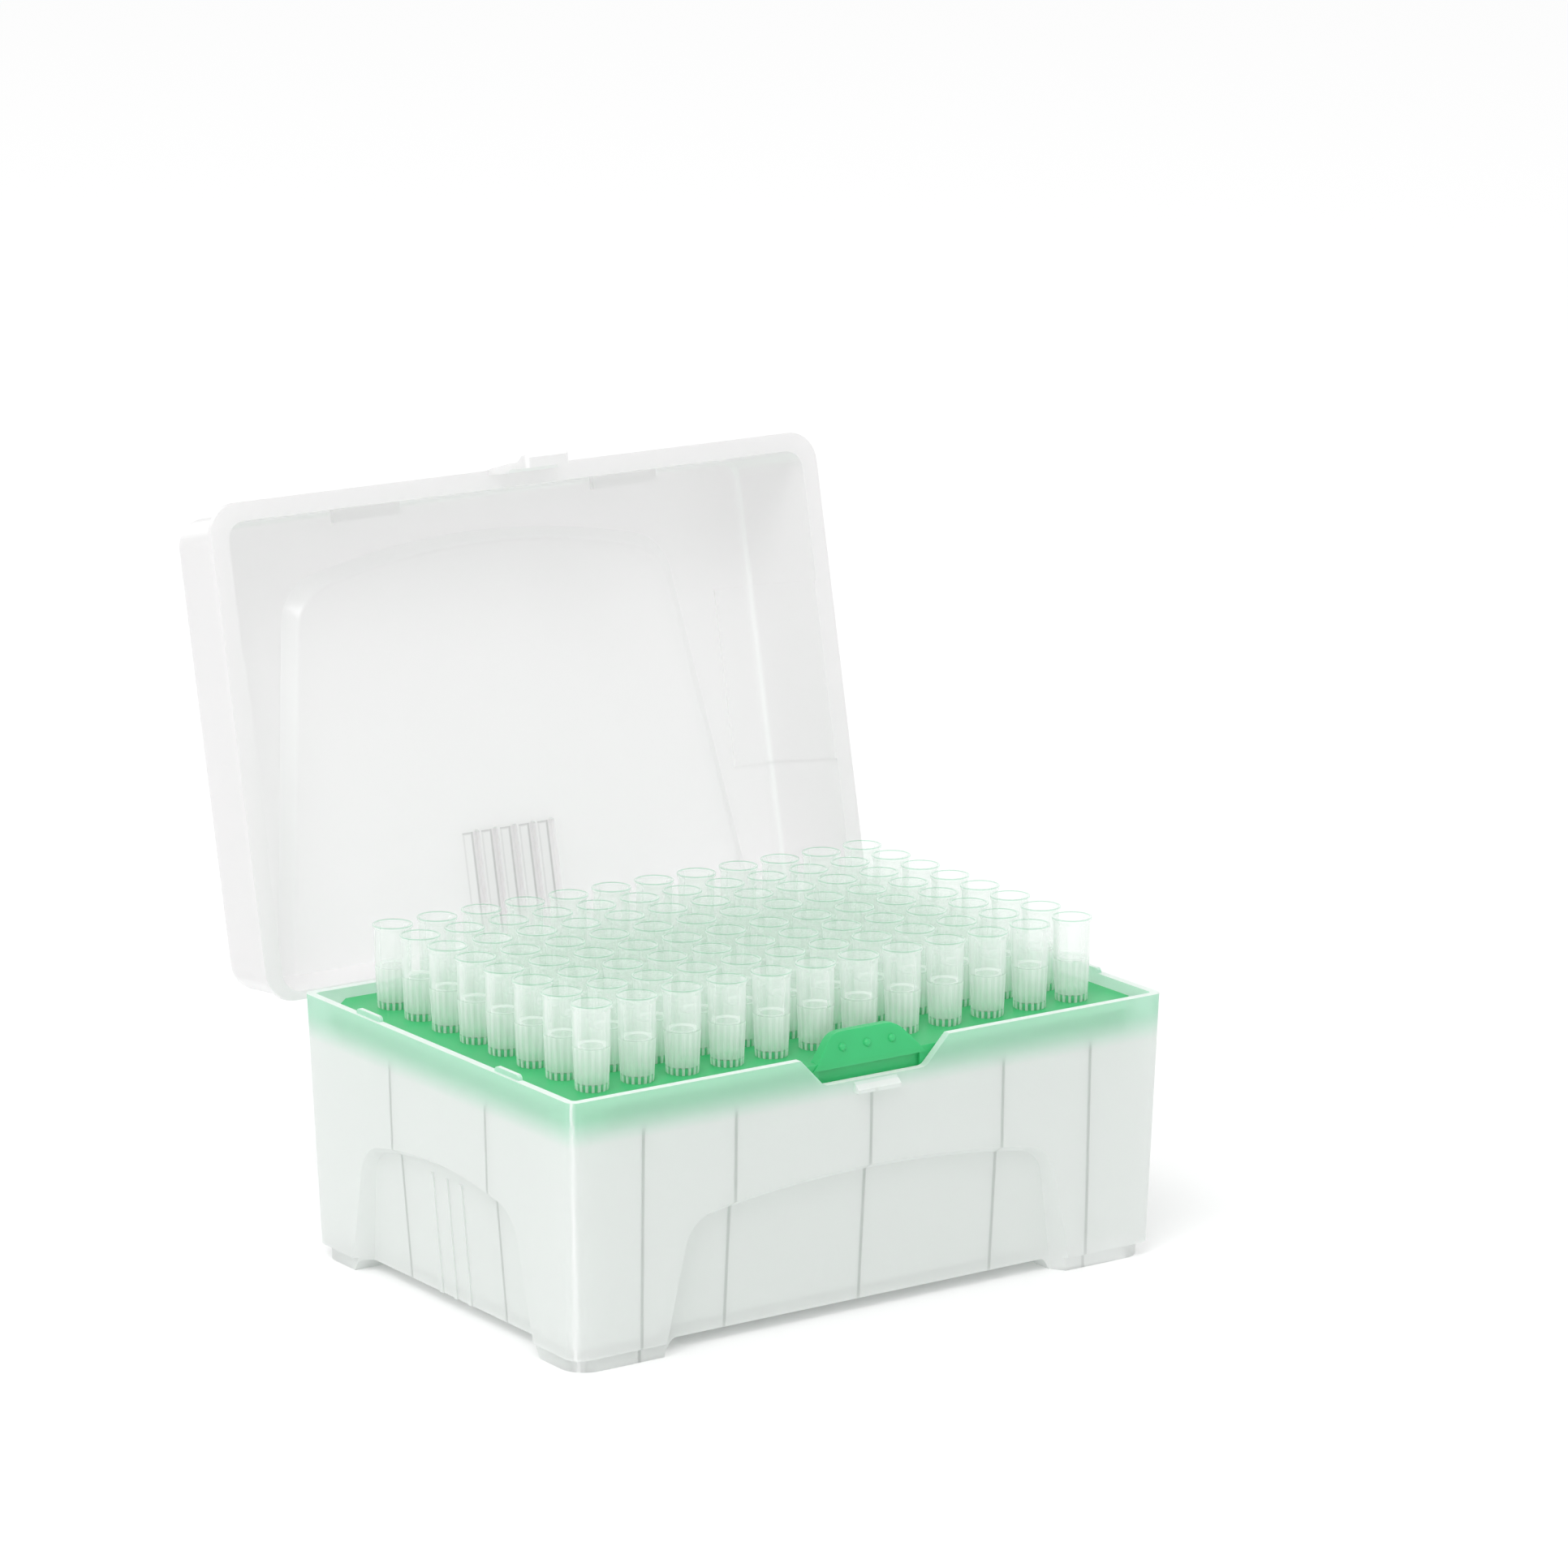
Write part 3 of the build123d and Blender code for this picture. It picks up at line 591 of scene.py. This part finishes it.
# stands a row of tips along Y, each turned by a random angle about its own axis
def tipRowTree():
    tree = bpy.data.node_groups.new("tipRow", "GeometryNodeTree")
    tree.interface.new_socket("Geometry", in_out="OUTPUT", socket_type="NodeSocketGeometry")
    for name, kind in (("Tip", "Object"), ("Rows", "Int"), ("Pitch", "Float"), ("First place", "Vector"),
                       ("Seed", "Int"), ("Material", "Material")):
        tree.interface.new_socket(name, in_out="INPUT", socket_type="NodeSocket" + kind)
    given = addNode(tree, "NodeGroupInput").outputs
    offset = addNode(tree, "ShaderNodeCombineXYZ")
    setInputs(offset, {"Y": given["Pitch"]})
    line = addNode(tree, "GeometryNodeMeshLine", mode="OFFSET")
    setInputs(line, {
        "Count": given["Rows"],
        "Start Location": given["First place"],
        "Offset": offset.outputs["Vector"],
    })
    prototype = addNode(tree, "GeometryNodeObjectInfo")
    setInputs(prototype, {"Object": given["Tip"]})
    turn = addNode(tree, "FunctionNodeRandomValue", data_type="FLOAT_VECTOR")
    setInputs(turn, {"Min": (0, 0, 0), "Max": (0, 0, 2 * pi), "Seed": given["Seed"]})
    place = addNode(tree, "GeometryNodeInstanceOnPoints")
    setInputs(place, {
        "Points": line.outputs["Mesh"],
        "Instance": prototype.outputs["Geometry"],
        "Rotation": turn.outputs["Value"],
    })
    realize = addNode(tree, "GeometryNodeRealizeInstances")
    setInputs(realize, {"Geometry": place.outputs["Instances"]})
    paint = addNode(tree, "GeometryNodeSetMaterial")
    setInputs(paint, {"Geometry": realize.outputs["Geometry"], "Material": given["Material"]})
    setInputs(addNode(tree, "NodeGroupOutput"), {"Geometry": paint.outputs["Geometry"]})
    arrange(tree)
    return tree


# runs a tree on an empty mesh and returns the result as a plain mesh object
def meshFromTree(tree, pieceName, values):
    carrier = addObject(pieceName + "Carrier", bpy.data.meshes.new(pieceName + "Carrier"))
    modifier = carrier.modifiers.new("nodes", "NODES")
    modifier.node_group = tree
    for item in tree.interface.items_tree:
        if item.in_out == "INPUT":
            modifier[item.identifier] = values[item.name]
    graph = bpy.context.evaluated_depsgraph_get()
    mesh = bpy.data.meshes.new_from_object(carrier.evaluated_get(graph), depsgraph=graph)
    mesh.name = pieceName
    bpy.data.objects.remove(carrier)
    return addObject(pieceName, mesh)


def tipMaterial(name, look):
    material, tree = startMaterial(name)
    layer = addNode(tree, "ShaderNodeLayerWeight")
    setInputs(layer, {"Blend": look["facingBlend"]})
    facing = layer.outputs["Facing"]
    cloud = addNode(tree, "ShaderNodeAttribute", attribute_name="cloud").outputs["Fac"]
    cloudy = calculate(tree, "MAXIMUM", cloud, 0.0)
    glancing = mapRange(tree, facing, *look["haze"])
    haze = calculate(tree, "MULTIPLY_ADD", cloudy, look["cloudHaze"], glancing, clamp=True)
    # painted shade: a cloud below 0 darkens the clear tint along the rims
    line = calculate(tree, "MULTIPLY", cloud, -1.0, clamp=True)
    clear = addNode(tree, "ShaderNodeBsdfTransparent")
    setInputs(clear, {"Color": mixColours(tree, line, look["clear"], look["rimShadeTint"], (0.0, 1.0))})
    body = mixShaders(tree, haze, clear.outputs["BSDF"], addMilk(tree, look["milk"], look["through"]))

    # painted green glow: faces between the teeth take the colour of the lit tray seen through them
    trayGlowMark = addNode(tree, "ShaderNodeAttribute", attribute_name="trayGlow")
    trayGlowAmount = mapRange(tree, trayGlowMark.outputs["Fac"], 0.0, look["trayGlowShare"])
    body = mixShaders(tree, trayGlowAmount, body, addMilk(tree, look["trayGlowTint"], look["trayGlowThrough"]))

    # only faces turned to the eye shine
    side = addNode(tree, "ShaderNodeNewGeometry")
    shine = mapRange(tree, facing, *look["sheen"])
    turnedToEye = mapRange(tree, side.outputs["Backfacing"], 1.0, 0.0)
    gloss = addNode(tree, "ShaderNodeBsdfGlossy")
    setInputs(gloss, {"Color": white, "Roughness": look["roughness"]})
    outside = calculate(tree, "MULTIPLY", shine, turnedToEye)
    finishTree(tree, mixShaders(tree, outside, body, gloss.outputs["BSDF"]))
    return material


def makeTips(look):
    columns = sorted(name for name in frame["nodes"] if name.startswith("tips_column"))
    form = tipForm(look)
    tree = tipRowTree()
    material = tipMaterial("clearTipPlastic", look)
    for count, name in enumerate(columns):
        low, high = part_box(name)
        width = high[0] - low[0]
        piece = meshFromTree(tree, "tips" + name[-2:], {
            "Tip": form,
            "Rows": look["rows"],
            "Pitch": (high[1] - low[1] - width) / (look["rows"] - 1),
            "First place": ((low[0] + high[0]) / 2, low[1] + width / 2, high[2]),
            "Seed": look["seed"] + count,
            "Material": material,
        })
        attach(piece, "base")
        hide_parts(name)
    bpy.data.objects.remove(form)


# Floor, light and camera

stage = {
    "floorSize": 6.0,
    "floorColour": (0.92, 0.92, 0.92),
    "floorLift": 0.1,
    "worldStrength": 0.92,
    "backdropStrength": 1.0,
    "lamps": {
        "key": {"place": (-0.9, -0.7, 1.5), "size": 0.8, "power": 8.0},
        "glint": {"place": (-1.3, 0.3, 0.9), "size": 0.16, "power": 1.4},
    },
    "cameraPlace": (-0.62966, -0.95435, 0.35215),
    "azimuth": -34.465,
    "elevation": 13.379,
    "roll": -0.122,
    "lens": 154.53,
    "sensor": 36.0,
    "farthest": 20.0,
}


# 1 for rays from the camera, in a mirror or through clear plastic, 0 for rays that only carry light
def seenDirectly(tree):
    rays = addNode(tree, "ShaderNodeLightPath").outputs
    names = ("Is Camera Ray", "Is Glossy Ray", "Is Transmission Ray")
    return combine(tree, "MAXIMUM", [rays[name] for name in names])


def makeFloor(look):
    mesh = bpy.data.meshes.new("floor")
    half = look["floorSize"] / 2
    corners = [(-half, -half, 0), (half, -half, 0), (half, half, 0), (-half, half, 0)]
    mesh.from_pydata(corners, [], [(0, 1, 2, 3)])
    floor = addObject("floor", mesh)
    material, tree = startMaterial("floorPaper")
    paper = addNode(tree, "ShaderNodeBsdfDiffuse")
    setInputs(paper, {"Color": (*look["floorColour"], 1)})
    glow = addNode(tree, "ShaderNodeEmission")
    setInputs(glow, {"Strength": calculate(tree, "MULTIPLY", seenDirectly(tree), look["floorLift"])})
    total = addNode(tree, "ShaderNodeAddShader")
    setInputs(total, {0: paper.outputs["BSDF"], 1: glow.outputs["Emission"]})
    finishTree(tree, total.outputs["Shader"])
    mesh.materials.append(material)


def makeWorld(look):
    world = bpy.data.worlds.new("studio")
    world.use_nodes = True
    tree = world.node_tree
    tree.nodes.clear()
    light = addNode(tree, "ShaderNodeBackground")
    setInputs(light, {"Color": white, "Strength": look["worldStrength"]})
    backdrop = addNode(tree, "ShaderNodeBackground")
    setInputs(backdrop, {"Color": white, "Strength": look["backdropStrength"]})
    mix = mixShaders(tree, seenDirectly(tree), light.outputs["Background"], backdrop.outputs["Background"])
    finishTree(tree, mix, "ShaderNodeOutputWorld")
    scene.world = world


def makeLamps(look):
    for name, values in look["lamps"].items():
        light = bpy.data.lights.new(name, "AREA")
        light.shape = "SQUARE"
        light.size = values["size"]
        light.energy = values["power"]
        lamp = addObject(name, light)
        lamp.location = values["place"]
        lamp.rotation_euler = (-Vector(values["place"])).to_track_quat("-Z", "Y").to_euler()


def makeCamera(look):
    lens = bpy.data.cameras.new("camera")
    lens.lens = look["lens"]
    lens.sensor_width = look["sensor"]
    lens.clip_end = look["farthest"]
    camera = addObject("camera", lens)
    turn = Matrix.Rotation(radians(look["azimuth"]), 4, "Z")
    tilt = Matrix.Rotation(radians(90 - look["elevation"]), 4, "X")
    roll = Matrix.Rotation(radians(look["roll"]), 4, "Z")
    camera.matrix_world = Matrix.Translation(look["cameraPlace"]) @ turn @ tilt @ roll
    scene.camera = camera


makeCamera(stage)
makeWorld(stage)
makeLamps(stage)
makeFloor(stage)
print("stage ready")

makeShell("box_base", "baseShell", frostedBase, paintBase)
makeShell("lid", "lidShell", frostedLid, paintLid)
print("base and lid ready")

makeTray(tray)
print("tray ready")

makeTips(tip)
print("tips ready")

scene.view_settings.view_transform = "Standard"
scene.cycles.transparent_max_bounces = 256
scene.cycles.transmission_bounces = 24
scene.cycles.max_bounces = 24
scene.cycles.diffuse_bounces = 12
scene.cycles.glossy_bounces = 8
